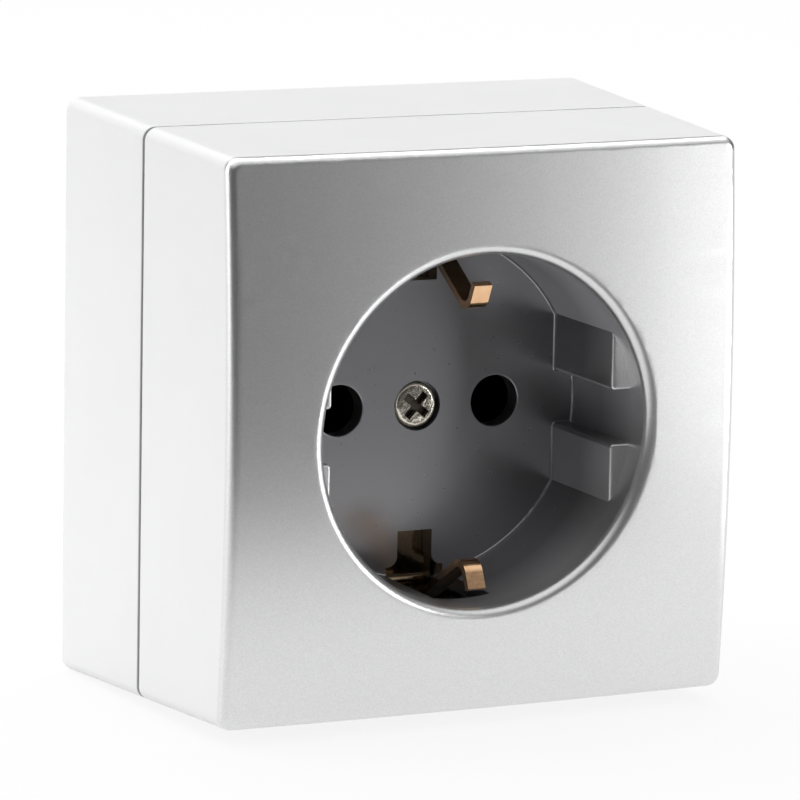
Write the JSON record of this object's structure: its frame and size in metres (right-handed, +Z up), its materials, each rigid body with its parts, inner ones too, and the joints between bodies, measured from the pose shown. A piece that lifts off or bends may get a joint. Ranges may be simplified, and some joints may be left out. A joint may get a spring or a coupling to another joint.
{
  "type": "type f wall socket",
  "caption": "Surface-mounted wall socket: white two-part housing with a pillow-shaped silver front, a round recess with side earth clips and two pin holes.",
  "frame": {"origin": "centre of the back box's rear face, on the wall", "axes": "+Z up, +X to the right seen from the room, +Y into the wall; the front looks along -Y"},
  "size_m": [0.064, 0.0419, 0.065],
  "materials": {
    "white_plastic": "smooth satin moulding",
    "silver_plastic": "silver metallic lacquer on plastic",
    "carrier_plastic": "dark thermoset",
    "brass_strip": "bright rolled strip",
    "brass_block": "drawn bar, sawn",
    "plated_steel": "nickel plated",
    "spring_steel": "bare spring steel",
    "seal_rubber": "soft membrane"
  },
  "bodies": {
    "root": {"back_box": "white_plastic", "surround_frame": "white_plastic", "face_plate": "silver_plastic", "contact_carrier": "carrier_plastic", "earth_bow": "brass_strip", "line_contact": "brass_strip", "neutral_contact": "brass_strip", "line_clasp_spring": "spring_steel", "neutral_clasp_spring": "spring_steel", "line_terminal": "brass_block", "neutral_terminal": "brass_block", "earth_terminal": "brass_block", "line_terminal_screw": "plated_steel", "neutral_terminal_screw": "plated_steel", "earth_terminal_screw": "plated_steel", "centre_screw": "plated_steel", "centre_nut": "plated_steel", "carrier_screw_left": "plated_steel", "carrier_screw_right": "plated_steel", "cable_seal": "seal_rubber"}
  },
  "joints": []
}
